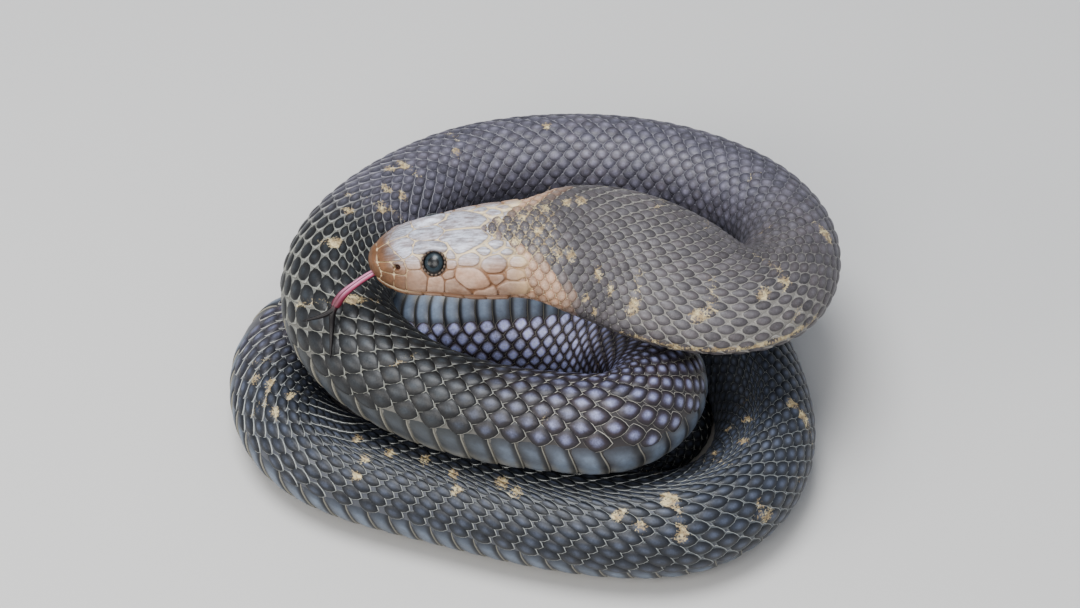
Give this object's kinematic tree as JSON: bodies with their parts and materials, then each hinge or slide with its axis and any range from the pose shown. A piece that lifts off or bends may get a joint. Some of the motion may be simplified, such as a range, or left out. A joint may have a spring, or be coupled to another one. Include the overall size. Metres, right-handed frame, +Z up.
{
  "type": "cobra",
  "caption": "Cobra at rest in a heap of its own coils, head lying over them with the hood folded and the forked tongue out; a still life-size figure.",
  "frame": {"origin": "on the floor, at the centre of the underside of the coils' bounding box", "axes": "+Z up, the head points towards -X, and -Y is the side seen from the front"},
  "size_m": [0.1546, 0.1306, 0.0754],
  "materials": {
    "head_skin": "satin",
    "hood_skin": "satin",
    "body_skin": "satin",
    "eye": "gloss",
    "tongue": "satin"
  },
  "bodies": {
    "root": {"head": "head_skin", "eye_near": "eye", "eye_far": "eye", "tongue": "tongue", "hood": "hood_skin", "bend_front": "body_skin", "bend_back": "body_skin", "back_right": "body_skin", "back_left": "body_skin", "left_side": "body_skin", "left_corner": "body_skin", "front_upper": "body_skin", "turn_front": "body_skin", "turn_back": "body_skin", "inner": "body_skin", "crossing": "body_skin", "ground_left": "body_skin", "ground_front": "body_skin", "ground_corner": "body_skin", "ground_right": "body_skin", "ground_back": "body_skin", "tail_root": "body_skin", "tail_middle": "body_skin", "tail_tip": "body_skin"}
  },
  "joints": []
}
